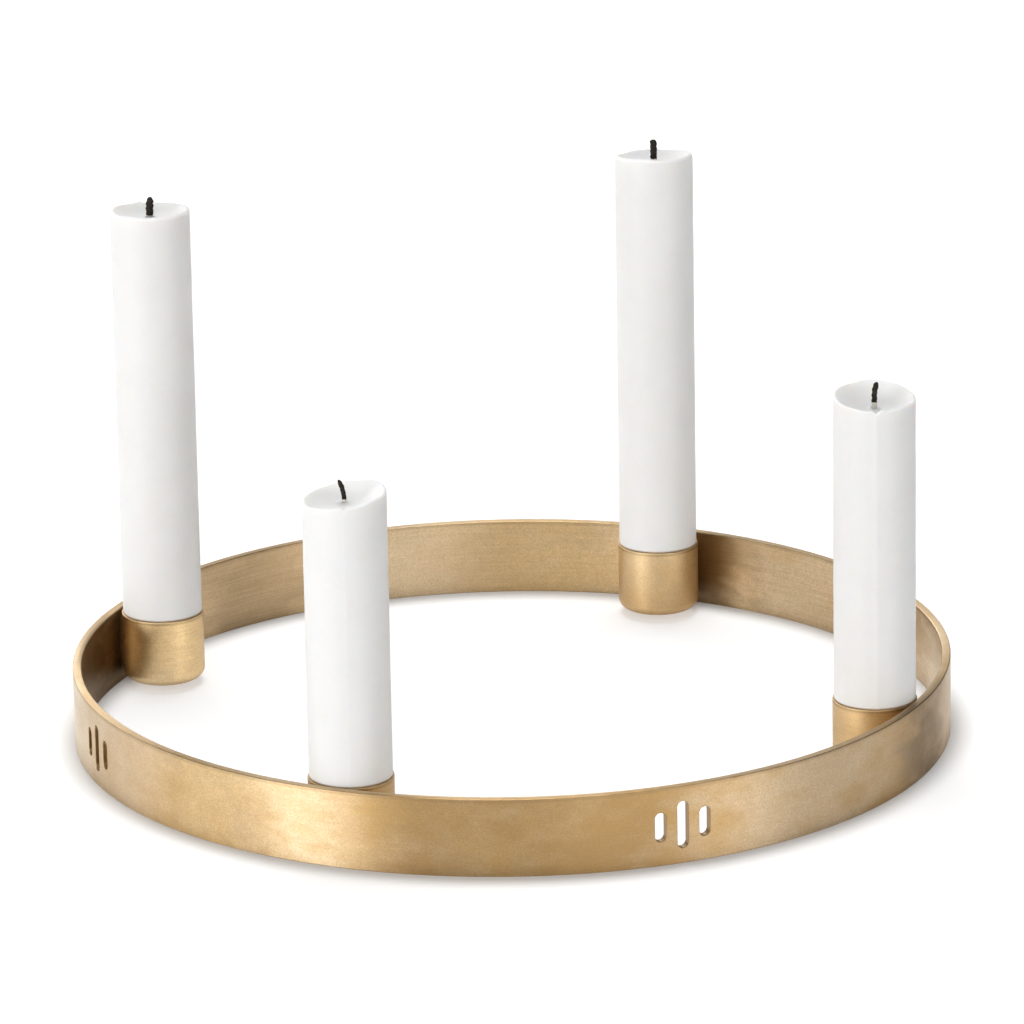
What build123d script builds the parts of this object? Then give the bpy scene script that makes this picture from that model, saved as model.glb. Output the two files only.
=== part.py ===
from build123d import *
import os
from dataclasses import dataclass
from math import cos, degrees, radians, sin

# Advent candle holder: a brass band bent into a ring, with four drawn cups brazed to its inner wall.
# Each cup holds a wax candle, burnt down by a different amount.
# Millimetres, +Z up. The origin is the centre of the ring on the table that the band stands on.

# Band
BAND_OUTER_DIAMETER = 250.0
BAND_HEIGHT = 22.2
BAND_THICKNESS = 2.5
BAND_EDGE_RADIUS = 0.35
# Butt joint of the rolled strip, filled with braze
SEAM_WIDTH = 0.2

# Slots through the band, in groups of three midway between the cups
SLOT_WIDTH = 3.2
SLOT_PITCH = 6.5
MIDDLE_SLOT_LENGTH = 13.4
SIDE_SLOT_LENGTH = 8.3
SLOT_EDGE_RADIUS = 0.25

# Candles, which the cups are drawn to fit
CANDLE_DIAMETER = 22.9
CANDLE_SHOULDER = 0.55
CANDLE_FOOT_CLEARANCE = 0.25
CANDLE_FOOT_ABOVE_RIM = 0.2
CANDLE_FOOT_TAPER = 0.5
CANDLE_LIP = 1.3
CANDLE_LIP_RADIUS = 0.45
RIGHT_CANDLE_LENGTH = 107.0
BACK_CANDLE_LENGTH = 138.5
LEFT_CANDLE_LENGTH = 139.9
FRONT_CANDLE_LENGTH = 99.0
RIGHT_DISH_DEPTH = 3.7
BACK_DISH_DEPTH = 2.25
LEFT_DISH_DEPTH = 2.4
FRONT_DISH_DEPTH = 2.4

# Wicks, with the bare length that stands above the dish
WICK_DIAMETER = 1.9
WICK_TIP_RADIUS = 0.4
RIGHT_WICK_BARE = 7.8
BACK_WICK_BARE = 6.85
LEFT_WICK_BARE = 6.2
FRONT_WICK_BARE = 6.9

# Cups, drawn from sheet
CUP_HEIGHT = 20.0
CUP_WALL = 0.7
CUP_CORNER_RADIUS = 3.0
CUP_RIM_RADIUS = 0.25
CUP_TABLE_GAP = 1.8

# Braze between a cup and the band
BRAZE_GAP = 0.15
BRAZE_WIDTH = 7.0
BRAZE_RIM_DROP = 0.4


@dataclass(frozen=True)
class Candle:
    """One candle. Lengths in mm, angles in degrees, directions counted from +X seen from above.

    The round body rises to a low ridge along its mould seam, over ridge_angle to either side of it.
    The bare wick stays straight over the share wick_straight of its length, then bends.
    """

    name: str
    direction: float
    length: float
    dish_depth: float
    rim_tilt: float
    rim_low_side: float
    ridge_side: float
    ridge_angle: float
    wick_bare: float
    wick_straight: float
    wick_bend: float
    wick_bend_side: float


CANDLES = (
    Candle(
        name="right",
        direction=0.0,
        length=RIGHT_CANDLE_LENGTH,
        dish_depth=RIGHT_DISH_DEPTH,
        rim_tilt=6.6,
        rim_low_side=-47.0,
        ridge_side=-66.0,
        ridge_angle=12.0,
        wick_bare=RIGHT_WICK_BARE,
        wick_straight=0.45,
        wick_bend=22.0,
        wick_bend_side=24.0,
    ),
    Candle(
        name="back",
        direction=90.0,
        length=BACK_CANDLE_LENGTH,
        dish_depth=BACK_DISH_DEPTH,
        rim_tilt=6.0,
        rim_low_side=120.0,
        ridge_side=114.0,
        ridge_angle=7.0,
        wick_bare=BACK_WICK_BARE,
        wick_straight=0.3,
        wick_bend=3.0,
        wick_bend_side=204.0,
    ),
    Candle(
        name="left",
        direction=180.0,
        length=LEFT_CANDLE_LENGTH,
        dish_depth=LEFT_DISH_DEPTH,
        rim_tilt=2.2,
        rim_low_side=114.0,
        ridge_side=124.0,
        ridge_angle=7.0,
        wick_bare=LEFT_WICK_BARE,
        wick_straight=0.3,
        wick_bend=9.0,
        wick_bend_side=24.0,
    ),
    Candle(
        name="front",
        direction=270.0,
        length=FRONT_CANDLE_LENGTH,
        dish_depth=FRONT_DISH_DEPTH,
        rim_tilt=7.2,
        rim_low_side=222.0,
        ridge_side=-66.0,
        ridge_angle=6.0,
        wick_bare=FRONT_WICK_BARE,
        wick_straight=0.1,
        wick_bend=28.0,
        wick_bend_side=204.0,
    ),
)

# Derived sizes
BAND_OUTER_RADIUS = BAND_OUTER_DIAMETER / 2
BAND_INNER_RADIUS = BAND_OUTER_RADIUS - BAND_THICKNESS
CANDLE_RADIUS = CANDLE_DIAMETER / 2
CANDLE_FOOT_RADIUS = CANDLE_RADIUS - CANDLE_SHOULDER
CUP_BORE_RADIUS = CANDLE_FOOT_RADIUS + CANDLE_FOOT_CLEARANCE
CUP_RADIUS = CUP_BORE_RADIUS + CUP_WALL
CUP_INNER_CORNER = CUP_CORNER_RADIUS - CUP_WALL
CUP_CENTRE_RADIUS = BAND_INNER_RADIUS - BRAZE_GAP - CUP_RADIUS
CUP_RIM_HEIGHT = CUP_TABLE_GAP + CUP_HEIGHT
CUP_DEPTH = CUP_HEIGHT - CUP_WALL
WICK_RADIUS = WICK_DIAMETER / 2
# The strip's joint is hidden behind the back cup
SEAM_ANGLE = CANDLES[1].direction

ON_FLOOR = (Align.CENTER, Align.CENTER, Align.MIN)


def at_cup(candle, height):
    """The place on the axis of the candle's cup, at a height above the table."""
    around = radians(candle.direction)
    return Pos(CUP_CENTRE_RADIUS * cos(around), CUP_CENTRE_RADIUS * sin(around), height)


def closed_ring():
    """The band before it is pierced, with its four edges broken."""
    outer = Cylinder(BAND_OUTER_RADIUS, BAND_HEIGHT, align=ON_FLOOR)
    inner = Cylinder(BAND_INNER_RADIUS, BAND_HEIGHT, align=ON_FLOOR)
    ring = outer - inner
    return fillet(ring.edges().filter_by(GeomType.CIRCLE), BAND_EDGE_RADIUS)


def slot_cutter(angle, length):
    """A round-ended slot that runs straight out through the band's wall at this angle."""
    outward = Vector(cos(radians(angle)), sin(radians(angle)), 0)
    middle = outward * ((BAND_OUTER_RADIUS + BAND_INNER_RADIUS) / 2) + Vector(0, 0, BAND_HEIGHT / 2)
    wall = Plane(origin=middle, x_dir=(0, 0, 1), z_dir=outward)
    return extrude(wall * SlotOverall(length, SLOT_WIDTH), BAND_THICKNESS, both=True)


def slot_cutters():
    """Three slots midway between each cup and the next, the middle one longer."""
    step = degrees(SLOT_PITCH / BAND_OUTER_RADIUS)
    cutters = []
    for candle in CANDLES:
        middle = candle.direction + 180 / len(CANDLES)
        cutters.append(slot_cutter(middle - step, SIDE_SLOT_LENGTH))
        cutters.append(slot_cutter(middle, MIDDLE_SLOT_LENGTH))
        cutters.append(slot_cutter(middle + step, SIDE_SLOT_LENGTH))
    return cutters


def pierced_ring():
    """The closed ring with its slots, their edges broken on both walls."""
    ring = closed_ring() - slot_cutters()
    walls = [face for face in ring.faces().filter_by(GeomType.CYLINDER) if face.inner_wires()]
    slot_edges = [edge for wall in walls for wire in wall.inner_wires() for edge in wire.edges()]
    return fillet(slot_edges, SLOT_EDGE_RADIUS)


def make_band_and_seam():
    """The pierced strip, and the braze that closes its butt joint."""
    ring = pierced_ring()
    joint = Rot(0, 0, SEAM_ANGLE) * Pos(BAND_INNER_RADIUS, 0, 0) * Box(
        4 * BAND_THICKNESS, SEAM_WIDTH, 4 * BAND_HEIGHT
    )
    return ring - joint, ring & joint


def make_cup():
    """A drawn cup with a rounded bottom edge, standing on its own origin."""
    outer = Cylinder(CUP_RADIUS, CUP_HEIGHT, align=ON_FLOOR)
    outer = fillet(outer.edges().group_by(Axis.Z)[0], CUP_CORNER_RADIUS)
    inner = Pos(0, 0, CUP_WALL) * Cylinder(CUP_BORE_RADIUS, CUP_HEIGHT, align=ON_FLOOR)
    inner = fillet(inner.edges().group_by(Axis.Z)[0], CUP_INNER_CORNER)
    cup = outer - inner
    rim_edges = cup.edges().group_by(Axis.Z)[-1]
    return fillet(rim_edges, min(CUP_RIM_RADIUS, 0.45 * CUP_WALL))


def make_cup_braze():
    """Braze that fills the narrow wedge between a cup on +X and the band."""
    low = CUP_TABLE_GAP + CUP_CORNER_RADIUS
    high = CUP_RIM_HEIGHT - BRAZE_RIM_DROP
    outward = (Align.MIN, Align.CENTER, Align.MIN)
    block = Pos(CUP_CENTRE_RADIUS, 0, low) * Box(2 * CUP_RADIUS, BRAZE_WIDTH, high - low, align=outward)
    inside_band = Cylinder(BAND_INNER_RADIUS, 4 * BAND_HEIGHT)
    cup_outside = Pos(CUP_CENTRE_RADIUS, 0, 0) * Cylinder(CUP_RADIUS, 4 * BAND_HEIGHT)
    return (block & inside_band) - cup_outside


def ridge_radius(candle):
    """How far the crest of the mould seam lies from the candle's axis."""
    return CANDLE_RADIUS / cos(radians(candle.ridge_angle))


def candle_prism(candle, height):
    """The moulded candle before it burns: round, with one low ridge along its mould seam."""
    side = radians(candle.ridge_angle)
    touch = (CANDLE_RADIUS * cos(side), CANDLE_RADIUS * sin(side))
    mirrored = (touch[0], -touch[1])
    crest = (ridge_radius(candle), 0)
    arc = CenterArc((0, 0), CANDLE_RADIUS, candle.ridge_angle, 360 - 2 * candle.ridge_angle)
    outline = make_face([arc, Line(mirrored, crest), Line(crest, touch)])
    return Rot(0, 0, candle.ridge_side) * extrude(outline, height)


def foot_envelope(candle, height):
    """The space that the foot is shaved to: round-edged in the cup, then widening above the rim."""
    foot_top = CUP_DEPTH + CANDLE_FOOT_ABOVE_RIM
    slope = CANDLE_SHOULDER / CANDLE_FOOT_TAPER
    wide = 2 * ridge_radius(candle) - CANDLE_FOOT_RADIUS
    wide_height = foot_top + (wide - CANDLE_FOOT_RADIUS) / slope
    corner = CUP_INNER_CORNER
    corner_mid = corner * (1 - cos(radians(45)))
    edges = [
        Line((0, 0, 0), (CANDLE_FOOT_RADIUS - corner, 0, 0)),
        ThreePointArc(
            (CANDLE_FOOT_RADIUS - corner, 0, 0),
            (CANDLE_FOOT_RADIUS - corner_mid, 0, corner_mid),
            (CANDLE_FOOT_RADIUS, 0, corner),
        ),
        Line((CANDLE_FOOT_RADIUS, 0, corner), (CANDLE_FOOT_RADIUS, 0, foot_top)),
        Line((CANDLE_FOOT_RADIUS, 0, foot_top), (wide, 0, wide_height)),
        Line((wide, 0, wide_height), (wide, 0, height)),
        Line((wide, 0, height), (0, 0, height)),
        Line((0, 0, height), (0, 0, 0)),
    ]
    return revolve(make_face(edges), Axis.Z)


def make_candle(candle):
    """A burnt candle: shaved foot, tilted rim round a dished top, and a bore for the wick."""
    tall = 2 * candle.length
    body = candle_prism(candle, tall) & foot_envelope(candle, tall)
    lean = radians(candle.rim_tilt)
    low_side = radians(candle.rim_low_side)
    up = Vector(sin(lean) * cos(low_side), sin(lean) * sin(low_side), cos(lean))
    top = Vector(0, 0, candle.length)
    body = split(body, Plane(origin=top, z_dir=up), keep=Keep.BOTTOM)
    mouth = CANDLE_RADIUS - CANDLE_LIP
    bowl_radius = (mouth**2 + candle.dish_depth**2) / (2 * candle.dish_depth)
    bowl_centre = top + up * (bowl_radius - candle.dish_depth)
    body = body - Pos(*bowl_centre) * Sphere(bowl_radius)
    rim = [face for face in body.faces().filter_by(GeomType.PLANE) if face.normal_at().dot(up) > 0.999]
    body = fillet(rim[0].edges(), CANDLE_LIP_RADIUS)
    return body - Cylinder(WICK_RADIUS, 2 * tall)


def make_wick(candle):
    """A wick that runs the whole candle and stands bare above the dish, bent over at its tip."""
    straight = candle.length - candle.dish_depth + candle.wick_straight * candle.wick_bare
    turn = radians(candle.wick_bend)
    bend_radius = (1 - candle.wick_straight) * candle.wick_bare / turn
    path = Line((0, 0, 0), (0, 0, straight)) + ThreePointArc(
        (0, 0, straight),
        (bend_radius * (1 - cos(turn / 2)), 0, straight + bend_radius * sin(turn / 2)),
        (bend_radius * (1 - cos(turn)), 0, straight + bend_radius * sin(turn)),
    )
    wick = sweep(Circle(WICK_RADIUS), path=path)
    tip = wick.faces().sort_by(Axis.Z)[-1]
    wick = fillet(tip.edges(), WICK_TIP_RADIUS)
    return Rot(0, 0, candle.wick_bend_side) * wick


def make_pieces():
    """Every piece of the holder, by name, in place."""
    band, seam = make_band_and_seam()
    pieces = {"band": band, "band_seam": seam}
    cup = make_cup()
    braze = make_cup_braze()
    for candle in CANDLES:
        cup_floor = CUP_TABLE_GAP + CUP_WALL
        pieces[f"cup_{candle.name}"] = at_cup(candle, CUP_TABLE_GAP) * cup
        pieces[f"cup_braze_{candle.name}"] = Rot(0, 0, candle.direction) * braze
        pieces[f"candle_{candle.name}"] = at_cup(candle, cup_floor) * make_candle(candle)
        pieces[f"wick_{candle.name}"] = at_cup(candle, cup_floor) * make_wick(candle)
    return pieces


os.makedirs("parts", exist_ok=True)
for piece_name, piece in make_pieces().items():
    piece.label = piece_name
    export_step(piece, os.path.join("parts", f"{piece_name}.step"))
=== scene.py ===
import math
import random
from dataclasses import dataclass, replace

import bpy
from mathutils import Matrix, Vector, noise


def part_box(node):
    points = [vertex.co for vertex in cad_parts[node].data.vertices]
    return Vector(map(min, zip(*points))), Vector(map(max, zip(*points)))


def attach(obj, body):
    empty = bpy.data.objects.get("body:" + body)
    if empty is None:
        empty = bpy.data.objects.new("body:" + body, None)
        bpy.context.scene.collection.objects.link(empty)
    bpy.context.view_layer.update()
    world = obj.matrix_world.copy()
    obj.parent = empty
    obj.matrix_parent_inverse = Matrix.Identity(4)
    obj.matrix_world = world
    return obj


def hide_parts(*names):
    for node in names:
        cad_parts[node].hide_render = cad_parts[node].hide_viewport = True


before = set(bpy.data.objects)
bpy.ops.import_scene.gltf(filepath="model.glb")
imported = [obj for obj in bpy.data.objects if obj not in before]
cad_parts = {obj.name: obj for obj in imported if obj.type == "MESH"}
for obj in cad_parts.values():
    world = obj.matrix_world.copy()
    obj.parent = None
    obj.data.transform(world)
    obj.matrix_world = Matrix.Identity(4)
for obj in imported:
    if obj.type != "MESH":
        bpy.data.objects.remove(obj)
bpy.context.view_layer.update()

# Advent candle holder: satin brass band and cups, four burnt wax candles with charred wicks.
# Metres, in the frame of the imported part: the ring's centre on the table is the origin, +Z up.

MM = 0.001

# Camera, fitted to the ring's edges in a picture of 1024 by 1024 pixels
PICTURE_PIXELS = 1024
SENSOR_WIDTH = 36.0
FOCAL_PIXELS = 7361.0
CAMERA_AZIMUTH = math.radians(23.6)
CAMERA_ELEVATION = math.radians(19.18)
CAMERA_DISTANCE = 2.106
CAMERA_ROLL = math.radians(-1.0)
# How far the picture's middle lies right of and above the ring's centre, as shares of the distance
CAMERA_AIM_RIGHT = 0.00040
CAMERA_AIM_UP = 0.02892

# Holder shape
BAND_THICKNESS = 2.5 * MM
BAND_EDGE_RADIUS = 0.35 * MM

# Candle shape
CANDLE_SEGMENTS = 216
CANDLE_FOOT_RADIUS = 10.9 * MM
CANDLE_FOOT_CORNER = 2.3 * MM
CANDLE_FOOT_HEIGHT = 19.38 * MM
CANDLE_SHOULDER_HEIGHT = 0.15 * MM
# A row this close to a corner keeps the shading of the long sides even
SUPPORT = 0.08 * MM
# Rows of points up the candle's outline, and the lip's step in degrees
QUARTER_ROWS = 6
SIDE_ROWS = 48
LIP_ROWS = 7
LIP_STEP = 13.0
DISH_ROWS = 26
# The dish starts this far in from the lip, and the wax climbs and is sooty this far out from the wick
DISH_INSET = 0.15 * MM
CLIMB_REACH = 0.55 * MM
SOOT_REACH = 1.6 * MM
# A row of the wick's bore lies this far below the dish
BORE_DEPTH = 4.0 * MM
# The notch in the rim in degrees: half widths of its slit and beads, and how far off the beads stand
NOTCH_SLIT = 3.5
NOTCH_BEAD = 4.0
NOTCH_BEAD_OFF = 8.0
# The power by which the notch fades out down the dish
NOTCH_FADE = 9.0
RIM_WAVE_COUNTS = (2, 3, 5, 8)
DENT_SCALE = 160.0
DENT_DEPTH = 0.05 * MM

# Wick shape
WICK_RADIUS = 0.95 * MM
WICK_SEGMENTS = 32
WICK_BARE_ROWS = 60
# The share of its bore that the wick fills, and the lengths over which it thins and its braid shows
WICK_FILL = 0.96
WICK_THINS = 1.2 * MM
BRAID_SHOWS = 0.8 * MM
BRAID_STRANDS = 3
BRAID_PITCH = 1.5 * MM
BRAID_RELIEF = 0.09
CHAR_FADE = 0.9 * MM
CRUST_SCALE = 900.0
CRUST_FINER = 2.3
CRUST_COARSE_RELIEF = 0.16
CRUST_FINE_RELIEF = 0.10


@dataclass(frozen=True)
class Candle:
    """How one candle has burnt. Lengths in metres, directions in degrees from +X seen from above."""

    side: str
    length: float
    dish_depth: float
    bowl_power: float
    wax_climb: float
    lip_radius: float
    rim_tilt: float
    rim_low_side: float
    rim_waves: float
    ridge_side: float
    ridge_angle: float
    ridge_notch: float
    wick_bare: float
    wick_straight: float
    wick_bend: float
    wick_bend_side: float
    wick_width: float
    wick_tip: float
    wick_pale: float
    seed: int


CANDLES = (
    Candle(
        side="right",
        length=107.0 * MM,
        dish_depth=3.7 * MM,
        bowl_power=2.0,
        wax_climb=0.6 * MM,
        lip_radius=0.55 * MM,
        rim_tilt=6.6,
        rim_low_side=-47.0,
        rim_waves=0.30 * MM,
        ridge_side=-66.0,
        ridge_angle=12.0,
        ridge_notch=0.55 * MM,
        wick_bare=7.8 * MM,
        wick_straight=0.45,
        wick_bend=22.0,
        wick_bend_side=24.0,
        wick_width=0.78,
        wick_tip=0.8 * MM,
        wick_pale=2.0 * MM,
        seed=11,
    ),
    Candle(
        side="back",
        length=138.5 * MM,
        dish_depth=2.25 * MM,
        bowl_power=2.4,
        wax_climb=0.8 * MM,
        lip_radius=0.9 * MM,
        rim_tilt=6.0,
        rim_low_side=120.0,
        rim_waves=0.22 * MM,
        ridge_side=114.0,
        ridge_angle=7.0,
        ridge_notch=0.3 * MM,
        wick_bare=6.85 * MM,
        wick_straight=0.3,
        wick_bend=3.0,
        wick_bend_side=204.0,
        wick_width=1.02,
        wick_tip=0.5 * MM,
        wick_pale=1.2 * MM,
        seed=23,
    ),
    Candle(
        side="left",
        length=139.9 * MM,
        dish_depth=2.4 * MM,
        bowl_power=2.4,
        wax_climb=0.8 * MM,
        lip_radius=0.9 * MM,
        rim_tilt=2.2,
        rim_low_side=114.0,
        rim_waves=0.22 * MM,
        ridge_side=124.0,
        ridge_angle=7.0,
        ridge_notch=0.3 * MM,
        wick_bare=6.2 * MM,
        wick_straight=0.3,
        wick_bend=9.0,
        wick_bend_side=24.0,
        wick_width=1.12,
        wick_tip=1.2 * MM,
        wick_pale=0.9 * MM,
        seed=37,
    ),
    Candle(
        side="front",
        length=99.0 * MM,
        dish_depth=2.4 * MM,
        bowl_power=2.2,
        wax_climb=0.6 * MM,
        lip_radius=0.6 * MM,
        rim_tilt=7.2,
        rim_low_side=222.0,
        rim_waves=0.25 * MM,
        ridge_side=-66.0,
        ridge_angle=6.0,
        ridge_notch=0.5 * MM,
        wick_bare=6.9 * MM,
        wick_straight=0.1,
        wick_bend=28.0,
        wick_bend_side=204.0,
        wick_width=0.68,
        wick_tip=0.8 * MM,
        wick_pale=1.2 * MM,
        seed=53,
    ),
)


class Graph:
    """A material's node tree, with short ways to add and join nodes."""

    # Where the Mix node keeps its two inputs and its result, for colours and for vectors
    MIX_SOCKETS = {"RGBA": (6, 7, 2), "VECTOR": (4, 5, 1)}

    def __init__(self, name):
        self.material = bpy.data.materials.new(name)
        self.material.use_nodes = True
        self.tree = self.material.node_tree
        self.tree.nodes.clear()

    def node(self, kind, **settings):
        made = self.tree.nodes.new(kind)
        for key, value in settings.items():
            setattr(made, key, value)
        return made

    def put(self, socket, value):
        """Set a socket to a plain value, or join it to another node's output."""
        if isinstance(value, bpy.types.NodeSocket):
            self.tree.links.new(value, socket)
        else:
            socket.default_value = value

    def math(self, operation, first, second=0.0):
        made = self.node("ShaderNodeMath", operation=operation)
        self.put(made.inputs[0], first)
        self.put(made.inputs[1], second)
        return made.outputs[0]

    def vector(self, operation, first, second=(0.0, 0.0, 0.0)):
        """Vector maths. The result is a number for a length or a dot product, and else a vector."""
        made = self.node("ShaderNodeVectorMath", operation=operation)
        self.put(made.inputs[0], first)
        self.put(made.inputs[1], second)
        return made.outputs["Value" if operation in ("LENGTH", "DOT_PRODUCT") else "Vector"]

    def object_point(self):
        return self.node("ShaderNodeTexCoord").outputs["Object"]

    def height(self, point):
        axes = self.node("ShaderNodeSeparateXYZ")
        self.put(axes.inputs[0], point)
        return axes.outputs["Z"]

    def mesh_normal(self):
        return self.node("ShaderNodeNewGeometry").outputs["Normal"]

    def point_value(self, name):
        """A number that the mesh carries at each of its points."""
        return self.node("ShaderNodeAttribute", attribute_name=name).outputs["Fac"]

    def noise(self, point, scale, detail=2.0, roughness=0.5):
        made = self.node("ShaderNodeTexNoise")
        self.put(made.inputs["Vector"], point)
        made.inputs["Scale"].default_value = scale
        made.inputs["Detail"].default_value = detail
        made.inputs["Roughness"].default_value = roughness
        return made.outputs["Fac"]

    def spread(self, value, low, high, new_low=0.0, new_high=1.0):
        """Stretch the range from low to high over a new range, and hold it there."""
        made = self.node("ShaderNodeMapRange", interpolation_type="SMOOTHSTEP")
        self.put(made.inputs["Value"], value)
        made.inputs["From Min"].default_value = low
        made.inputs["From Max"].default_value = high
        made.inputs["To Min"].default_value = new_low
        made.inputs["To Max"].default_value = new_high
        return made.outputs["Result"]

    def mix(self, share, first, second, kind="RGBA"):
        """Blend two colours, or two vectors. The share is the second one's."""
        start, end, result = self.MIX_SOCKETS[kind]
        made = self.node("ShaderNodeMix", data_type=kind)
        self.put(made.inputs["Factor"], share)
        self.put(made.inputs[start], first)
        self.put(made.inputs[end], second)
        return made.outputs[result]

    def bump(self, height, distance, strength, normal=None):
        """Relief on a normal, by default the mesh's own."""
        made = self.node("ShaderNodeBump")
        made.inputs["Strength"].default_value = strength
        made.inputs["Distance"].default_value = distance
        self.put(made.inputs["Height"], height)
        if normal is not None:
            self.put(made.inputs["Normal"], normal)
        return made.outputs["Normal"]

    def principled(self, **inputs):
        """The surface shader, joined to the output. Names of sockets are written with underscores."""
        shader = self.node("ShaderNodeBsdfPrincipled")
        output = self.node("ShaderNodeOutputMaterial")
        for name, value in inputs.items():
            self.put(shader.inputs[name.replace("_", " ")], value)
        self.tree.links.new(shader.outputs[0], output.inputs["Surface"])
        return self.material


def rgb(red, green, blue):
    return (red, green, blue, 1.0)


# Tarnish, which also paints shade at the feet of the cups
BRASS_TARNISH_AND_SHADE = rgb(0.30, 0.19, 0.085)
# Worn metal at the rims, which also paints a highlight along them
BRASS_WORN_AND_HIGHLIGHT = rgb(0.80, 0.62, 0.37)
# Tones for the patches round the band, which paint highlights and shade as well as patina and heat marks
BRASS_BLOOM_AND_HIGHLIGHT = rgb(0.82, 0.70, 0.50)
BRASS_HEAT_AND_SHADE = rgb(0.185, 0.128, 0.070)
# Painted shade low on the inner wall at the heat marks
BRASS_LOW_SHADE = rgb(0.045, 0.030, 0.015)
# The inner wall's tone, painted lighter than the outside
BRASS_INSIDE_LIT = rgb(0.80, 0.61, 0.38)
# More tones for those patches, painting highlights and shade as well as patina
BRASS_DEEP = rgb(0.50, 0.31, 0.12)
BRASS_GREYED_AND_LIT = rgb(0.76, 0.61, 0.43)
BRASS_BRIGHT = rgb(0.79, 0.56, 0.27)
BRASS_POLISHED_AND_LIT = rgb(0.95, 0.79, 0.56)
# Old brass stays golden, and mirrors less than clean metal, where it is seen along its surface
BRASS_GRAZING = rgb(0.72, 0.65, 0.56)
BRASS_CLEAN_GRAZING = rgb(1.0, 0.98, 0.95)

# Scales of the brass's textures, per metre
CLOUD_SCALE = 26.0
STREAK_SCALE = 28.0
WISP_SCALE = 45.0
WISP_FLATNESS = 2.2
MOTTLE_SCALE = 330.0
LINE_SCALE = 2100.0
SPECKLE_SCALE = 2700.0
# Where the marks on the brass start and end: the darkening below the top rim, the painted shade above the
# foot, the painted shade up from the table at the heat marks, and the lighter tone out from the inner wall
RIM_DARK_START = 1.3 * MM
RIM_DARK_FULL = 0.6 * MM
FOOT_SHADE_FULL = 0.4 * MM
FOOT_SHADE_END = 2.6 * MM
LOW_SHADE_FULL = 1.0 * MM
LOW_SHADE_END = 11.0 * MM
INNER_FULL = 0.3 * MM
INNER_END = 2.0 * MM
SLOT_CLEAR_START = 1.2 * MM
SLOT_CLEAR_END = 1.6 * MM
# How strong they are
INNER_GOLD = 0.35
INNER_LIGHT_SHARE = 0.55
LOW_SHADE_SHARE = 0.85
MOTTLE_SHARE = 0.17
SLOT_GRIME = 0.75
HEAT_AND_SHADE_LINES = 0.5
LINE_DEPTH = 5.0
GRAIN_ROUGHNESS = 0.06
# A patch fades out over this many half widths, and its edge wanders by this share of one
PATCH_FADE = 1.45
PATCH_WANDER = 0.7


@dataclass(frozen=True)
class Finish:
    """How a brass piece was finished: its two tones, grain, gloss, lines from polishing, rims with their
    wear and painted highlight, and the painted shade at its foot.
    """

    gold: tuple
    pale: tuple
    speckle: float
    roughness: float
    anisotropy: float
    around_scale: float
    outside_lines: float
    inside_lines: float
    edge_width: float
    edge_wear_and_highlight: float
    rim_darkening: float
    rim_clean: float
    foot_shade: float
    pierced: bool


BAND_FINISH = Finish(
    gold=rgb(0.57, 0.365, 0.14),
    pale=rgb(0.65, 0.475, 0.28),
    speckle=0.46,
    roughness=0.36,
    anisotropy=0.76,
    around_scale=45.0,
    outside_lines=0.10,
    inside_lines=0.22,
    edge_width=0.7 * MM,
    edge_wear_and_highlight=0.12,
    rim_darkening=0.35,
    rim_clean=0.08 * MM,
    foot_shade=0.0,
    pierced=True,
)
CUP_FINISH = Finish(
    gold=rgb(0.72, 0.49, 0.23),
    pale=rgb(0.775, 0.585, 0.34),
    speckle=0.32,
    roughness=0.49,
    anisotropy=0.45,
    around_scale=80.0,
    outside_lines=0.16,
    inside_lines=0.16,
    edge_width=0.55 * MM,
    edge_wear_and_highlight=0.7,
    rim_darkening=0.55,
    rim_clean=0.5 * MM,
    foot_shade=0.5,
    pierced=False,
)
# The left cup has kept more of its polish, and its tones are painted lighter, standing in for more light on
# it
POLISHED_AND_LIT_CUP_FINISH = replace(
    CUP_FINISH,
    gold=rgb(0.92, 0.68, 0.36),
    pale=BRASS_POLISHED_AND_LIT,
    roughness=0.36,
)


@dataclass(frozen=True)
class Patch:
    """A patch of the band with another tone: middle and half width in degrees, share on each face."""

    side: float
    half_width: float
    tone: tuple
    outside: float
    inside: float


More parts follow.
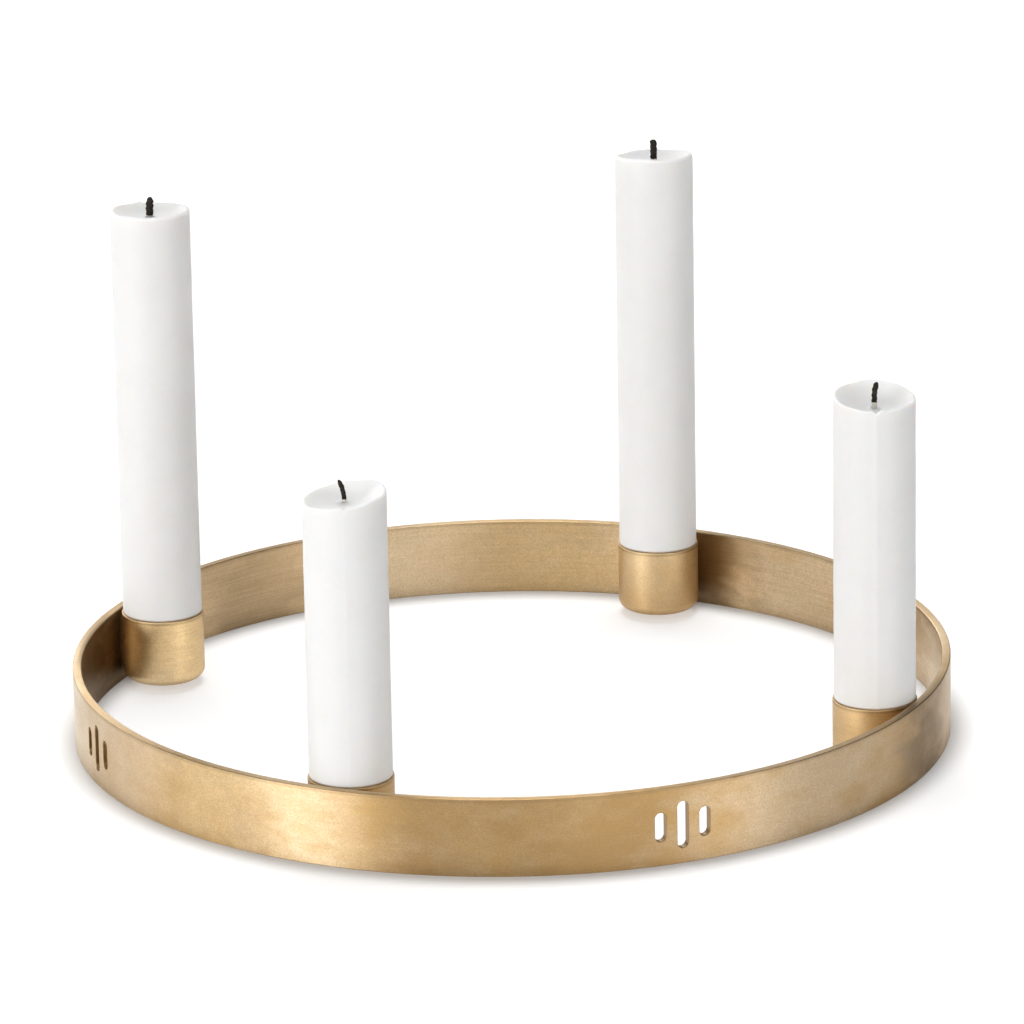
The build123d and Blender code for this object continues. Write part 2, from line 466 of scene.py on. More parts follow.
# Heat marks from brazing the cups, which also paint the shade beside the cups, and paler and deeper
# stretches of the patina, which also paint highlights and shade round the band. Later ones lie on top
PATCHES = (
    Patch(side=1.5, half_width=6.5, tone=BRASS_HEAT_AND_SHADE, outside=1.0, inside=0.2),
    Patch(side=83.6, half_width=5.6, tone=BRASS_HEAT_AND_SHADE, outside=0.25, inside=0.62),
    Patch(side=194.0, half_width=13.0, tone=BRASS_HEAT_AND_SHADE, outside=0.25, inside=1.0),
    Patch(side=-92.5, half_width=9.0, tone=BRASS_BLOOM_AND_HIGHLIGHT, outside=0.65, inside=0.2),
    Patch(side=-77.5, half_width=10.5, tone=BRASS_DEEP, outside=0.9, inside=0.0),
    Patch(side=-54.5, half_width=15.0, tone=BRASS_DEEP, outside=1.0, inside=0.0),
    Patch(side=-108.0, half_width=10.0, tone=BRASS_BRIGHT, outside=0.6, inside=0.0),
    Patch(side=-30.0, half_width=15.0, tone=BRASS_GREYED_AND_LIT, outside=0.75, inside=0.0),
    Patch(side=-128.0, half_width=12.0, tone=BRASS_GREYED_AND_LIT, outside=0.4, inside=0.0),
    Patch(side=-154.0, half_width=14.0, tone=BRASS_BLOOM_AND_HIGHLIGHT, outside=0.85, inside=0.0),
    Patch(side=108.0, half_width=12.0, tone=BRASS_BRIGHT, outside=0.0, inside=0.8),
    Patch(side=115.0, half_width=12.0, tone=BRASS_DEEP, outside=0.0, inside=0.15),
    Patch(side=149.0, half_width=11.0, tone=BRASS_HEAT_AND_SHADE, outside=0.0, inside=0.28),
    Patch(side=128.0, half_width=9.0, tone=BRASS_BLOOM_AND_HIGHLIGHT, outside=0.0, inside=0.35),
    Patch(side=66.0, half_width=10.0, tone=BRASS_BLOOM_AND_HIGHLIGHT, outside=0.0, inside=0.4),
    Patch(side=28.0, half_width=12.0, tone=BRASS_POLISHED_AND_LIT, outside=0.5, inside=0.9),
)

# Keeps the level part of a vector
LEVEL = (1.0, 1.0, 0.0)


def flat_direction(graph, point):
    """The level direction from the part's axis to the point."""
    return graph.vector("NORMALIZE", graph.vector("MULTIPLY", point, LEVEL))


def flat_length(graph, point):
    """The level distance from the part's axis to the point."""
    return graph.vector("LENGTH", graph.vector("MULTIPLY", point, LEVEL))


def cut_wall(graph, point, height, low, high):
    """A mask of the slots' walls: faces that look neither in nor out, away from the two rims."""
    facing = graph.vector("DOT_PRODUCT", flat_direction(graph, point), graph.mesh_normal())
    sideways = graph.spread(graph.math("ABSOLUTE", facing), 0.55, 0.9, 1.0, 0.0)
    above = graph.spread(height, low + SLOT_CLEAR_START, low + SLOT_CLEAR_END)
    below = graph.spread(height, high - SLOT_CLEAR_END, high - SLOT_CLEAR_START, 1.0, 0.0)
    return graph.math("MULTIPLY", sideways, graph.math("MULTIPLY", above, below))


def beyond(graph, value, low, high):
    """How far a value lies past the range from low to high, negative below it."""
    held = graph.math("MINIMUM", graph.math("MAXIMUM", value, low), high)
    return graph.math("SUBTRACT", value, held)


def band_normal(graph, point, height, low, high, inside_radius):
    """The mesh's own normal, and near the two rims the true one of the band's rounded edges."""
    edge = BAND_EDGE_RADIUS
    outside_radius = inside_radius + BAND_THICKNESS
    across = beyond(graph, flat_length(graph, point), inside_radius + edge, outside_radius - edge)
    level = graph.vector("MULTIPLY", flat_direction(graph, point), across)
    upright = graph.node("ShaderNodeCombineXYZ")
    graph.put(upright.inputs["Z"], beyond(graph, height, low + edge, high - edge))
    rounded = graph.vector("NORMALIZE", graph.vector("ADD", level, upright.outputs[0]))
    from_middle = graph.math("ABSOLUTE", graph.math("SUBTRACT", height, 0.5 * (low + high)))
    near_rim = graph.math("GREATER_THAN", from_middle, 0.5 * (high - low) - 2.0 * edge)
    return graph.mix(near_rim, graph.mesh_normal(), rounded, "VECTOR")


def patch_mask(graph, outward, wander, inside, patch):
    """A mask of one patch. Its soft edge wanders, and each face of the band has its own share."""
    side = math.radians(patch.side)
    wide = math.radians(patch.half_width)
    middle = (math.cos(side), math.sin(side), 0.0)
    turned = graph.math("ARCCOSINE", graph.vector("DOT_PRODUCT", outward, middle))
    edge = graph.math("ADD", turned, graph.math("MULTIPLY", wander, wide))
    core = graph.spread(edge, 0.0, PATCH_FADE * wide, 1.0, 0.0)
    return graph.math("MULTIPLY", core, graph.spread(inside, 0.0, 1.0, patch.outside, patch.inside))


def patched(graph, point, inside, colour):
    """The band's colour with all its patches of patina and painted highlight and shade, a mask of the heat
    marks, which also paint shade, and one of the polished ones, which also paint light.
    """
    outward = flat_direction(graph, point)
    flattened = graph.vector("MULTIPLY", point, (1.0, 1.0, WISP_FLATNESS))
    wisps = graph.noise(flattened, WISP_SCALE, detail=4.0, roughness=0.55)
    wander = graph.spread(wisps, 0.25, 0.75, -PATCH_WANDER, PATCH_WANDER)
    heat = 0.0
    polish = 0.0
    for patch in PATCHES:
        mask = patch_mask(graph, outward, wander, inside, patch)
        colour = graph.mix(mask, colour, patch.tone)
        # The heat marks' mask also holds their painted shade, and the polished patch's mask its painted
        # light
        if patch.tone == BRASS_HEAT_AND_SHADE:
            heat = graph.math("MAXIMUM", mask, heat)
        if patch.tone == BRASS_POLISHED_AND_LIT:
            polish = graph.math("MAXIMUM", mask, polish)
    return colour, heat, polish


def rim_masks(graph, height, mottle, low, high, finish):
    """Masks of the top rim, of the wear and painted highlight on both rims, and of the darkening below the
    top rim and the painted shade at the foot.
    """
    edge = finish.edge_width
    top_rim = graph.spread(height, high - edge, high - 0.25 * edge)
    low_rim = graph.spread(height, low + 0.25 * edge, low + edge, 1.0, 0.0)
    # Wear on both rims, which also paints a highlight along them
    wear = graph.spread(mottle, 0.3, 0.65, 0.4 * finish.edge_wear_and_highlight, finish.edge_wear_and_highlight)
    rim_wear_and_highlight = graph.math("MULTIPLY", graph.math("MAXIMUM", top_rim, low_rim), wear)
    # Darker just below the top rim
    darkening = graph.spread(height, high - RIM_DARK_START, high - RIM_DARK_FULL, 0.0, finish.rim_darkening)
    below_edge = graph.spread(height, high - finish.rim_clean, high - 0.35 * finish.rim_clean, 1.0, 0.0)
    darkening = graph.math("MULTIPLY", darkening, below_edge)
    # Painted shade above the foot, darker towards the table
    foot = graph.spread(height, low + FOOT_SHADE_FULL, low + FOOT_SHADE_END, finish.foot_shade, 0.0)
    return top_rim, rim_wear_and_highlight, graph.math("MAXIMUM", darkening, foot)


def brass_roughness(graph, cloud, mottle, speckle, finish):
    """The finish's roughness, a little uneven."""
    even = graph.spread(cloud, 0.0, 1.0, finish.roughness - 0.02, finish.roughness + 0.03)
    coarse = graph.spread(mottle, 0.3, 0.7, 0.0, GRAIN_ROUGHNESS)
    fine = graph.spread(speckle, 0.3, 0.7, 0.0, GRAIN_ROUGHNESS)
    return graph.math("ADD", graph.math("ADD", coarse, fine), even)


def brass(name, low, high, inside_radius, finish):
    """Satin brass: speckle, cloudy patina, lines from polishing round the axis, rims at low and high, and
    tones that paint highlights and shade.
    """
    graph = Graph(name)

    # Textures and masks
    point = graph.object_point()
    height = graph.height(point)
    cloud = graph.spread(graph.noise(point, CLOUD_SCALE, detail=4.0, roughness=0.6), 0.34, 0.66)
    mottle = graph.noise(point, MOTTLE_SCALE, detail=4.0, roughness=0.65)
    speckle = graph.noise(point, SPECKLE_SCALE, detail=2.0, roughness=0.6)
    drawn_out = (finish.around_scale, finish.around_scale, LINE_SCALE)
    lines = graph.noise(graph.vector("MULTIPLY", point, drawn_out), 1.0, detail=3.0)
    top_rim, rim_wear_and_highlight, darkening = rim_masks(graph, height, mottle, low, high, finish)
    far = flat_length(graph, point)
    inside = graph.spread(far, inside_radius + INNER_FULL, inside_radius + INNER_END, 1.0, 0.0)

    # Colour, from the metal up to the darkening and painted shade
    # The inner wall is painted paler and lighter than the outside, standing in for its brighter reflections
    goldness = graph.math("MULTIPLY", cloud, graph.spread(inside, 0.0, 1.0, 1.0, INNER_GOLD))
    colour = graph.mix(goldness, finish.pale, finish.gold)
    colour = graph.mix(graph.math("MULTIPLY", inside, INNER_LIGHT_SHARE), colour, BRASS_INSIDE_LIT)
    streaky = graph.spread(graph.noise(point, STREAK_SCALE, detail=3.0), 0.40, 0.66, 0.15, 1.0)
    line_share = graph.spread(inside, 0.0, 1.0, finish.outside_lines, finish.inside_lines)
    line_share = graph.math("MULTIPLY", line_share, streaky)
    grazing = BRASS_GRAZING
    if finish.pierced:
        # Patches of patina that also paint highlights and shade; the heat marks among them get more dark
        # lines
        colour, heat, polish = patched(graph, point, inside, colour)
        dull = graph.math("MAXIMUM", graph.math("SUBTRACT", inside, polish), heat)
        dull = graph.math("MAXIMUM", dull, top_rim)
        grazing = graph.mix(dull, BRASS_CLEAN_GRAZING, BRASS_GRAZING)
        line_share = graph.math("ADD", line_share, graph.math("MULTIPLY", heat, HEAT_AND_SHADE_LINES))
        # Painted shade on the inner wall's heat marks, darker towards the table, where the wall mirrors the
        # floor
        near_table = graph.spread(height, low + LOW_SHADE_FULL, low + LOW_SHADE_END, LOW_SHADE_SHARE, 0.0)
        low_shade = graph.math("MULTIPLY", graph.math("MULTIPLY", heat, inside), near_table)
        colour = graph.mix(low_shade, colour, BRASS_LOW_SHADE)
    colour = graph.mix(graph.spread(speckle, 0.30, 0.70, finish.speckle, 0.0), colour, BRASS_TARNISH_AND_SHADE)
    colour = graph.mix(graph.spread(mottle, 0.32, 0.66, MOTTLE_SHARE, 0.0), colour, BRASS_TARNISH_AND_SHADE)
    dark_lines = graph.math("MULTIPLY", graph.spread(lines, 0.62, 0.36), line_share)
    colour = graph.mix(dark_lines, colour, BRASS_TARNISH_AND_SHADE)
    colour = graph.mix(rim_wear_and_highlight, colour, BRASS_WORN_AND_HIGHLIGHT)
    colour = graph.mix(darkening, colour, BRASS_TARNISH_AND_SHADE)
    normal = None
    if finish.pierced:
        slot_wall = cut_wall(graph, point, height, low, high)
        colour = graph.mix(graph.math("MULTIPLY", slot_wall, SLOT_GRIME), colour, BRASS_TARNISH_AND_SHADE)
        normal = band_normal(graph, point, height, low, high, inside_radius)

    # Relief, and the shader
    grooves = graph.math("MULTIPLY", lines, graph.math("MULTIPLY", line_share, LINE_DEPTH))
    relief = graph.math("ADD", grooves, speckle)
    tangent = graph.node("ShaderNodeTangent", direction_type="RADIAL", axis="Z")
    return graph.principled(
        Base_Color=colour,
        Metallic=1.0,
        Specular_Tint=grazing,
        Roughness=brass_roughness(graph, cloud, mottle, speckle, finish),
        Anisotropic=finish.anisotropy,
        Anisotropic_Rotation=0.25,
        Tangent=tangent.outputs[0],
        Coat_Weight=0.35,
        Coat_Roughness=0.3,
        Coat_IOR=1.5,
        Normal=graph.bump(relief, 0.03 * MM, 0.5, normal),
    )


BRAZE_HEAT_SCALE = 180.0
BRAZE_RIPPLE_SCALE = 700.0


def braze_metal():
    """Braze filler: rippled where it froze, and dark from the heat."""
    graph = Graph("braze_metal")
    point = graph.object_point()
    ripple = graph.noise(point, BRAZE_RIPPLE_SCALE, detail=3.0)
    heat = graph.spread(graph.noise(point, BRAZE_HEAT_SCALE, detail=3.0), 0.38, 0.62)
    colour = graph.mix(heat, BRASS_HEAT_AND_SHADE, BRASS_TARNISH_AND_SHADE)
    return graph.principled(
        Base_Color=colour,
        Metallic=1.0,
        Specular_Tint=BRASS_GRAZING,
        Roughness=graph.spread(ripple, 0.3, 0.7, 0.45, 0.62),
        Normal=graph.bump(ripple, 0.06 * MM, 0.6),
    )


WAX_WHITE = rgb(0.85, 0.847, 0.84)
WAX_WARM = rgb(0.825, 0.815, 0.80)
WAX_SOOT = rgb(0.42, 0.37, 0.31)
# Painted shade where the wax sits in the cup's rim, brown like the brass it faces
WAX_RIM_SHADE = rgb(0.50, 0.34, 0.18)
WAX_CLOUD_SCALE = 90.0
WAX_GRAIN_SCALE = 1300.0
WAX_SPECK_SCALE = 1600.0
# The painted shade, a brown line where the wax sits in the cup's rim, reaches this far below and above the
# shoulder of the foot
RIM_SHADE_BELOW = 0.3 * MM
RIM_SHADE_FULL = 0.1 * MM
RIM_SHADE_ABOVE = 0.6 * MM


def painted_rim_shade(graph, point, shoulder):
    """A mask of the thin brown line of painted shade on the wax where it sits on the cup's rim."""
    height = graph.height(point)
    above = graph.spread(height, shoulder - RIM_SHADE_BELOW, shoulder - RIM_SHADE_FULL)
    below = graph.spread(height, shoulder + RIM_SHADE_FULL, shoulder + RIM_SHADE_ABOVE, 0.85, 0.0)
    return graph.math("MULTIPLY", above, below)


def wax(shoulder):
    """White stearin: faint clouds, sooty specks round the wick, a brown line of painted shade at the
    shoulder's height.
    """
    graph = Graph("wax")
    point = graph.object_point()
    cloud = graph.spread(graph.noise(point, WAX_CLOUD_SCALE, detail=4.0), 0.35, 0.7)
    grain = graph.noise(point, WAX_GRAIN_SCALE, detail=3.0)
    warm = graph.math("MULTIPLY", cloud, graph.spread(grain, 0.3, 0.7, 0.2, 0.8))
    colour = graph.mix(warm, WAX_WHITE, WAX_WARM)
    specks = graph.spread(graph.noise(point, WAX_SPECK_SCALE, detail=2.0), 0.45, 0.72)
    sooty = graph.math("MULTIPLY", graph.point_value("soot"), graph.spread(specks, 0.0, 1.0, 0.05, 0.28))
    colour = graph.mix(sooty, colour, WAX_SOOT)
    # Painted shade at the shoulder, where the wax sits in the cup's rim
    colour = graph.mix(painted_rim_shade(graph, point, shoulder), colour, WAX_RIM_SHADE)
    return graph.principled(
        Base_Color=colour,
        Roughness=graph.spread(cloud, 0.0, 1.0, 0.42, 0.54),
        Subsurface_Weight=0.7,
        Subsurface_Radius=(1.0, 0.85, 0.7),
        Subsurface_Scale=2.2 * MM,
        IOR=1.44,
        Normal=graph.bump(grain, 0.03 * MM, 0.4),
    )


COTTON = rgb(0.80, 0.76, 0.69)
CHAR = rgb(0.020, 0.016, 0.013)
ASH = rgb(0.16, 0.115, 0.085)
FIBRE_SCALE = 3200.0
ASH_SCALE = 2400.0


def wick_cotton():
    """Braided cotton, waxed and pale at the dish, charred brown-black above it with flecks of ash."""
    graph = Graph("wick_cotton")
    point = graph.object_point()
    fibre = graph.noise(point, FIBRE_SCALE, detail=3.0)
    blotchy = graph.math("ADD", graph.point_value("burnt"), graph.spread(fibre, 0.2, 0.8, -0.2, 0.2))
    flecks = graph.noise(point, ASH_SCALE, detail=3.0, roughness=0.7)
    ash = graph.spread(flecks, 0.55, 0.72, 0.0, 0.8)
    colour = graph.mix(graph.spread(blotchy, 0.35, 0.65), COTTON, graph.mix(ash, CHAR, ASH))
    return graph.principled(
        Base_Color=colour,
        Roughness=graph.spread(fibre, 0.3, 0.7, 0.75, 0.95),
        Specular_IOR_Level=0.2,
        Normal=graph.bump(fibre, 0.08 * MM, 0.8),
    )


def smooth_mesh(name, points, faces, material):
    """A mesh object of its own, smooth shaded."""
    mesh = bpy.data.meshes.new(name)
    mesh.from_pydata(points, [], faces)
    mesh.polygons.foreach_set("use_smooth", [True] * len(mesh.polygons))
    mesh.materials.append(material)
    mesh.update()
    made = bpy.data.objects.new(name, mesh)
    bpy.context.scene.collection.objects.link(made)
    return made


def ring_faces(rows, count, closed):
    """Quads between rows of points that each go once round. Closed joins the last row to the first."""
    faces = []
    for row in range(rows if closed else rows - 1):
        here = row * count
        above = (row + 1) % rows * count
        for index in range(count):
            after = (index + 1) % count
            faces.append((here + index, here + after, above + after, above + index))
    return faces


def point_values(made, name, values):
    """Give each point of the mesh a number that the material reads."""
    attribute = made.data.attributes.new(name, "FLOAT", "POINT")
    attribute.data.foreach_set("value", values)


def axis_of(candle):
    """The middle of the candle's cup, at the height of the candle's foot."""
    cup_low, cup_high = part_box(f"cup_{candle.side}")
    candle_low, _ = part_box(f"candle_{candle.side}")
    middle = (cup_low + cup_high) / 2
    return Vector((middle.x, middle.y, candle_low.z))


def eased(share):
    """Runs from 0 to 1 with level ends."""
    share = min(1.0, max(0.0, share))
    return share * share * (3.0 - 2.0 * share)


def turned_from(angle, direction):
    """The angle between two directions, from minus half a turn to half a turn."""
    return (angle - direction + math.pi) % (2.0 * math.pi) - math.pi


def candle_radius(candle):
    low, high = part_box(f"candle_{candle.side}")
    return (high.x - low.x) / 2


def rim_rise(candle, waves, radius, angle):
    """How far the burnt rim stands above its mean height in this direction, without its notch."""
    tilt = math.tan(math.radians(candle.rim_tilt))
    rise = -radius * tilt * math.cos(angle - math.radians(candle.rim_low_side))
    for count, size, phase in waves:
        rise += candle.rim_waves * size * math.sin(count * angle + phase)
    return rise


def rim_notch(candle, angle):
    """The rise and fall of the rim at the end of the mould ridge: a slit between two beads."""
    off_ridge = abs(math.degrees(turned_from(angle, math.radians(candle.ridge_side))))
    slit = math.exp(-((off_ridge / NOTCH_SLIT) ** 2))
    bead = math.exp(-(((off_ridge - NOTCH_BEAD_OFF) / NOTCH_BEAD) ** 2))
    return candle.ridge_notch * (0.5 * bead - slit)


def body_radius(candle, radius, angle):
    """The round body, with its low ridge along the mould seam."""
    off_ridge = abs(turned_from(angle, math.radians(candle.ridge_side)))
    flat = math.radians(candle.ridge_angle)
    if off_ridge >= flat:
        return radius
    return radius / math.cos(flat - off_ridge)


def foot_profile(wide):
    """Points (radius, height, soot) from the bore up the shaved foot, and over its shoulder to the body."""
    corner = CANDLE_FOOT_CORNER
    foot = CANDLE_FOOT_RADIUS
    top = CANDLE_FOOT_HEIGHT
    turns = [math.radians(90.0 / QUARTER_ROWS * step) for step in range(QUARTER_ROWS + 1)]
    points = [(WICK_RADIUS, 0.0, 0.0), (0.5 * foot, 0.0, 0.0)]
    for turn in turns:
        points.append((foot - corner + corner * math.sin(turn), corner - corner * math.cos(turn), 0.0))
    for up in (corner + SUPPORT, 0.5 * top, top - SUPPORT, top):
        points.append((foot, up, 0.0))
    step_out = wide - foot
    for turn in turns[1:]:
        up = top + CANDLE_SHOULDER_HEIGHT * (1.0 - math.cos(turn))
        points.append((foot + step_out * math.sin(turn), up, 0.0))
    return points


def dish_profile(candle, radius, rim, notch):
    """Points (radius, height, soot) from the lip down the dish to the wick, then down the bore."""
    pool = candle.length - candle.dish_depth
    inner = radius - candle.lip_radius - DISH_INSET
    points = []
    for step in range(DISH_ROWS + 1):
        share = step / DISH_ROWS
        across = inner + (WICK_RADIUS - inner) * share
        slope = (1.0 - share) ** candle.bowl_power
        climb = candle.wax_climb * math.exp(-(across - WICK_RADIUS) / CLIMB_REACH)
        sooty = math.exp(-(across - WICK_RADIUS) / SOOT_REACH)
        up = pool + (rim - pool) * slope + notch * (1.0 - share) ** NOTCH_FADE + climb
        points.append((across, up, sooty))
    points.append((WICK_RADIUS, pool - BORE_DEPTH, 0.0))
    return points


def candle_profile(candle, radius, rim, notch, wide):
    """Points (radius, height, soot) up the outside, over the lip, down the dish and back down the bore."""
    points = foot_profile(wide)
    start = CANDLE_FOOT_HEIGHT + CANDLE_SHOULDER_HEIGHT
    points.append((wide, start + SUPPORT, 0.0))
    lip = candle.lip_radius
    edge = rim + notch
    for step in range(1, SIDE_ROWS + 1):
        share = step / SIDE_ROWS
        points.append((wide, start + SUPPORT + (edge - lip - start - SUPPORT) * share, 0.0))
    for step in range(1, LIP_ROWS + 1):
        turn = math.radians(LIP_STEP * step)
        points.append((wide - lip + lip * math.cos(turn), edge - lip + lip * math.sin(turn), 0.0))
    return points + dish_profile(candle, radius, rim, notch)


def waves_of(candle):
    """The burnt rim's waves, from the candle's seed: how many go round, their size and where they start."""
    draw = random.Random(candle.seed)
    waves = []
    for count in RIM_WAVE_COUNTS:
        size = draw.uniform(0.4, 1.0) / count**0.5
        phase = draw.uniform(0.0, 6.28)
        waves.append((count, size, phase))
    return waves


def make_candle(candle, material):
    """A burnt candle with its own rim, dish, mould ridge and foot. Above the foot it is faintly dented."""
    waves = waves_of(candle)
    radius = candle_radius(candle)
    centre = axis_of(candle)
    columns = []
    for index in range(CANDLE_SEGMENTS):
        angle = math.radians(candle.ridge_side) + 2.0 * math.pi * index / CANDLE_SEGMENTS
        rim = candle.length + rim_rise(candle, waves, radius, angle)
        notch = rim_notch(candle, angle)
        wide = body_radius(candle, radius, angle)
        columns.append((angle, candle_profile(candle, radius, rim, notch, wide)))
    rows = len(columns[0][1])
    points = []
    soot = []
    for row in range(rows):
        for angle, profile in columns:
            across, up, sooty = profile[row]
            place = Vector((across * math.cos(angle), across * math.sin(angle), up))
            if CANDLE_FOOT_HEIGHT < up:
                spot = place * DENT_SCALE + Vector((candle.seed, 0.0, 0.0))
                dent = noise.noise(spot) * DENT_DEPTH
                place.x += dent * math.cos(angle)
                place.y += dent * math.sin(angle)
            points.append(place + centre)
            soot.append(sooty)
    faces = ring_faces(rows, CANDLE_SEGMENTS, True)
    made = smooth_mesh(f"burnt_candle_{candle.side}", points, faces, material)
    point_values(made, "soot", soot)
    return made


def wick_line(candle, along):
    """A point on the wick's middle line, its direction there and the side that it bends to."""
    straight = candle.length - candle.dish_depth + candle.wick_straight * candle.wick_bare
    side = math.radians(candle.wick_bend_side)
    lean = Vector((math.cos(side), math.sin(side), 0.0))
    if along <= straight:
        return Vector((0.0, 0.0, along)), Vector((0.0, 0.0, 1.0)), lean
    turn_all = math.radians(candle.wick_bend)
    bend = (1.0 - candle.wick_straight) * candle.wick_bare / turn_all
    turn = (along - straight) / bend
    place = lean * (bend * (1.0 - math.cos(turn))) + Vector((0.0, 0.0, straight + bend * math.sin(turn)))
    ahead = lean * math.sin(turn) + Vector((0.0, 0.0, math.cos(turn)))
    return place, ahead, lean


def wick_radius(candle, bare, left):
    """The wick's mean radius at a length above the dish and a length from the tip, where it rounds off."""
    thinner = (candle.wick_width - WICK_FILL) * WICK_RADIUS * eased(bare / WICK_THINS)
    return (WICK_FILL * WICK_RADIUS + thinner) * min(1.0, 0.12 + 0.88 * (left / candle.wick_tip) ** 0.55)


def wick_relief(along, angle, spot, charred):
    """The braid's strands and the crust of char on them, as a share of the wick's radius."""
    twist = along / BRAID_PITCH * 2.0 * math.pi / BRAID_STRANDS
    braid = max(math.cos(BRAID_STRANDS * (angle + twist)), math.cos(BRAID_STRANDS * (angle - twist)))
    coarse = noise.noise(spot) * CRUST_COARSE_RELIEF
    fine = noise.noise(spot * CRUST_FINER) * CRUST_FINE_RELIEF
    return BRAID_RELIEF * (braid - 0.45) + (coarse + fine) * (0.25 + 0.75 * charred)


def make_wick(candle, material):
    """A braided wick, whole in the wax and charred, crusted and thinned out above the dish."""
    centre = axis_of(candle)
    bare_start = candle.length - candle.dish_depth
    top = bare_start + candle.wick_bare
    stations = [0.1 * MM, 0.5 * bare_start, bare_start - 3.0 * MM]
    stations += [bare_start + candle.wick_bare * step / WICK_BARE_ROWS for step in range(WICK_BARE_ROWS + 1)]
    points = []
    burnt = []
    for along in stations:
        place, ahead, lean = wick_line(candle, along)
        across = ahead.cross(lean).normalized()
        beside = across.cross(ahead)
        bare = max(0.0, along - bare_start)
        radius = wick_radius(candle, bare, max(0.0, top - along))
        show = eased(bare / BRAID_SHOWS)
        charred = eased((bare - candle.wick_pale) / CHAR_FADE + 0.5)
        for index in range(WICK_SEGMENTS):
            angle = 2.0 * math.pi * index / WICK_SEGMENTS
            out = beside * math.cos(angle) + across * math.sin(angle)
            spot = (place + out * WICK_RADIUS) * CRUST_SCALE + Vector((0.0, candle.seed, 0.0))
            size = radius * (1.0 + show * wick_relief(along, angle, spot, charred))
            points.append(centre + place + out * size)
            burnt.append(charred)
    rows = len(stations)
    faces = ring_faces(rows, WICK_SEGMENTS, False)
    faces.append(tuple(reversed(range(WICK_SEGMENTS))))
    faces.append(tuple(range((rows - 1) * WICK_SEGMENTS, rows * WICK_SEGMENTS)))
    made = smooth_mesh(f"charred_wick_{candle.side}", points, faces, material)
    point_values(made, "burnt", burnt)
    return made


def dress_candles():
    foot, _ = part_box("candle_front")
    wax_material = wax(foot.z + CANDLE_FOOT_HEIGHT)
    wick_material = wick_cotton()
    for candle in CANDLES:
        body = f"{candle.side}_candle"
        candle_piece = make_candle(candle, wax_material)
        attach(candle_piece, body)
        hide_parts(f"candle_{candle.side}")
        wick_piece = make_wick(candle, wick_material)
        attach(wick_piece, body)
        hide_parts(f"wick_{candle.side}")


def paint(node, material):
    """Give a carried-over CAD node its finish."""
    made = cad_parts[node]
    made.data.materials.clear()
    made.data.materials.append(material)


def dress_brass():
    filler = braze_metal()
    low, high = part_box("band")
    paint("band", brass("band_brass", low.z, high.z, high.x - BAND_THICKNESS, BAND_FINISH))
    paint("band_seam", filler)
    for candle in CANDLES:
        low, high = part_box(f"cup_{candle.side}")
        finish = POLISHED_AND_LIT_CUP_FINISH if candle.side == "left" else CUP_FINISH
        paint(f"cup_{candle.side}", brass(f"cup_brass_{candle.side}", low.z, high.z, 0.0, finish))
        paint(f"cup_braze_{candle.side}", filler)


def direction(azimuth, elevation):
    """A unit vector out from the object. Azimuth 0 is towards -Y and 90 degrees towards +X."""
    level = math.cos(elevation)
    return Vector((math.sin(azimuth) * level, -math.cos(azimuth) * level, math.sin(elevation)))


def add_camera():
    data = bpy.data.cameras.new("camera")
    data.sensor_width = SENSOR_WIDTH
    data.lens = FOCAL_PIXELS / PICTURE_PIXELS * SENSOR_WIDTH
    data.clip_start = 0.05
    data.clip_end = 100.0
    back = direction(CAMERA_AZIMUTH, CAMERA_ELEVATION)
    right = Vector((math.cos(CAMERA_AZIMUTH), math.sin(CAMERA_AZIMUTH), 0.0))
    up = right.cross(-back)
    ahead = (-back + right * CAMERA_AIM_RIGHT + up * CAMERA_AIM_UP).normalized()
    level_right = ahead.cross(Vector((0.0, 0.0, 1.0))).normalized()
    level_up = level_right.cross(ahead)
    turned_right = level_right * math.cos(CAMERA_ROLL) + level_up * math.sin(CAMERA_ROLL)
    turned_up = level_up * math.cos(CAMERA_ROLL) - level_right * math.sin(CAMERA_ROLL)
    camera = bpy.data.objects.new("camera", data)
    camera.matrix_world = Matrix(
        (
            (turned_right.x, turned_up.x, -ahead.x, back.x * CAMERA_DISTANCE),
            (turned_right.y, turned_up.y, -ahead.y, back.y * CAMERA_DISTANCE),
            (turned_right.z, turned_up.z, -ahead.z, back.z * CAMERA_DISTANCE),
            (0.0, 0.0, 0.0, 1.0),
        )
    )
    bpy.context.scene.collection.objects.link(camera)
    bpy.context.scene.camera = camera


@dataclass(frozen=True)
class Softbox:
    """A lamp that faces the object. Degrees right of the camera and above the floor, lengths in metres."""

    name: str
    side: float
    elevation: float
    distance: float
    width: float
    height: float
    radiance: float


SOFTBOXES = (
    Softbox("key_left", side=-50.0, elevation=6.0, distance=2.5, width=1.15, height=0.5, radiance=15.2),
    Softbox("side_left", side=-92.0, elevation=6.0, distance=2.5, width=2.2, height=0.4, radiance=4.6),
    Softbox("fill_right", side=52.0, elevation=5.5, distance=2.5, width=1.3, height=0.42, radiance=7.7),
    Softbox("front_right", side=22.0, elevation=6.0, distance=2.5, width=0.95, height=0.45, radiance=4.2),
    Softbox("back_left", side=-150.0, elevation=20.0, distance=2.5, width=1.8, height=1.0, radiance=2.5),
    Softbox("back", side=180.0, elevation=20.0, distance=2.5, width=1.3, height=0.9, radiance=1.4),
    Softbox("front_top", side=-10.0, elevation=42.0, distance=2.2, width=1.2, height=1.0, radiance=2.4),
    Softbox("top", side=180.0, elevation=78.0, distance=2.2, width=1.2, height=1.2, radiance=6.0),
)


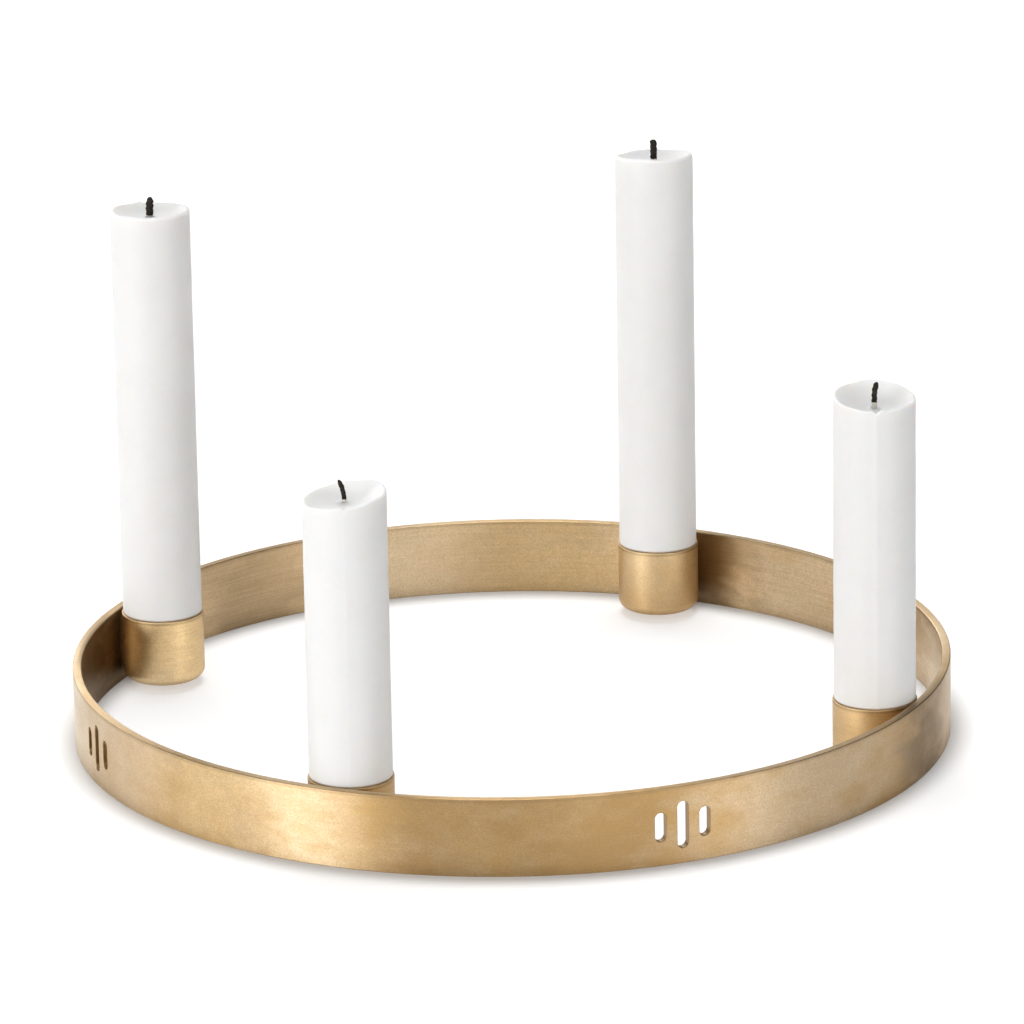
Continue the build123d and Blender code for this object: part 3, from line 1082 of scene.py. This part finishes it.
def add_softbox(box):
    data = bpy.data.lights.new(box.name, "AREA")
    data.shape = "RECTANGLE"
    data.size = box.width
    data.size_y = box.height
    data.energy = box.radiance * math.pi * box.width * box.height
    out = direction(CAMERA_AZIMUTH + math.radians(box.side), math.radians(box.elevation))
    lamp = bpy.data.objects.new(box.name, data)
    lamp.location = out * box.distance
    lamp.rotation_mode = "QUATERNION"
    lamp.rotation_quaternion = out.to_track_quat("Z", "Y")
    bpy.context.scene.collection.objects.link(lamp)


FLOOR_HALF = 6.0
FLOOR_WHITE = rgb(0.74, 0.74, 0.74)
# The floor's lift to white: less in a strip along the band, shifted towards the camera's side, which paints
# a contact shadow there, and more far from the holder
FLOOR_GLOW_PAINTED_SHADOW = 0.05
FLOOR_GLOW = 0.46
FLOOR_PAINTED_SHADOW_START = -2.0 * MM
FLOOR_PAINTED_SHADOW_END = 9.5 * MM
FLOOR_SHADE_SHIFT = 2.5 * MM
FLOOR_FAR_START = 0.6
FLOOR_FAR_END = 2.5
WORLD_LIGHT = 0.11


def add_floor():
    """A plain pale floor, lifted to white where the camera and mirrors see it. It keeps its shadows, and its
    lift is lower along the band, which paints a contact shadow.
    """
    graph = Graph("floor")
    diffuse = graph.node("ShaderNodeBsdfDiffuse")
    diffuse.inputs["Color"].default_value = FLOOR_WHITE
    ray = graph.node("ShaderNodeLightPath")
    seen = graph.math("MAXIMUM", ray.outputs["Is Camera Ray"], ray.outputs["Is Glossy Ray"])
    seen = graph.math("MAXIMUM", seen, ray.outputs["Is Transmission Ray"])
    _, band_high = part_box("band")
    band_middle = band_high.x - 0.5 * BAND_THICKNESS
    shade = direction(CAMERA_AZIMUTH, 0.0) * FLOOR_SHADE_SHIFT
    from_shade = flat_length(graph, graph.vector("ADD", graph.object_point(), tuple(-shade)))
    away = graph.math("ABSOLUTE", graph.math("SUBTRACT", from_shade, band_middle))
    # Less lift in a strip along the band, which paints a contact shadow
    near = graph.spread(away, FLOOR_PAINTED_SHADOW_START, FLOOR_PAINTED_SHADOW_END, FLOOR_GLOW_PAINTED_SHADOW, FLOOR_GLOW)
    far = graph.spread(from_shade, FLOOR_FAR_START, FLOOR_FAR_END, 0.0, 1.0 - FLOOR_GLOW)
    level = graph.math("ADD", near, far)
    glow = graph.node("ShaderNodeEmission")
    graph.put(glow.inputs["Strength"], graph.math("MULTIPLY", seen, level))
    both = graph.node("ShaderNodeAddShader")
    graph.put(both.inputs[0], diffuse.outputs[0])
    graph.put(both.inputs[1], glow.outputs[0])
    output = graph.node("ShaderNodeOutputMaterial")
    graph.put(output.inputs["Surface"], both.outputs[0])
    corners = [(-FLOOR_HALF, -FLOOR_HALF, 0.0), (FLOOR_HALF, -FLOOR_HALF, 0.0)]
    corners += [(FLOOR_HALF, FLOOR_HALF, 0.0), (-FLOOR_HALF, FLOOR_HALF, 0.0)]
    floor = smooth_mesh("floor", corners, [(0, 1, 2, 3)], graph.material)


def add_world():
    world = bpy.data.worlds.new("studio")
    bpy.context.scene.world = world
    world.use_nodes = True
    background = world.node_tree.nodes["Background"]
    background.inputs["Color"].default_value = rgb(1.0, 1.0, 1.0)
    background.inputs["Strength"].default_value = WORLD_LIGHT


def add_studio():
    add_world()
    add_floor()
    for box in SOFTBOXES:
        add_softbox(box)


dress_brass()
dress_candles()
add_camera()
add_studio()

scene = bpy.context.scene
scene.view_settings.view_transform = "Standard"
bpy.context.view_layer.update()
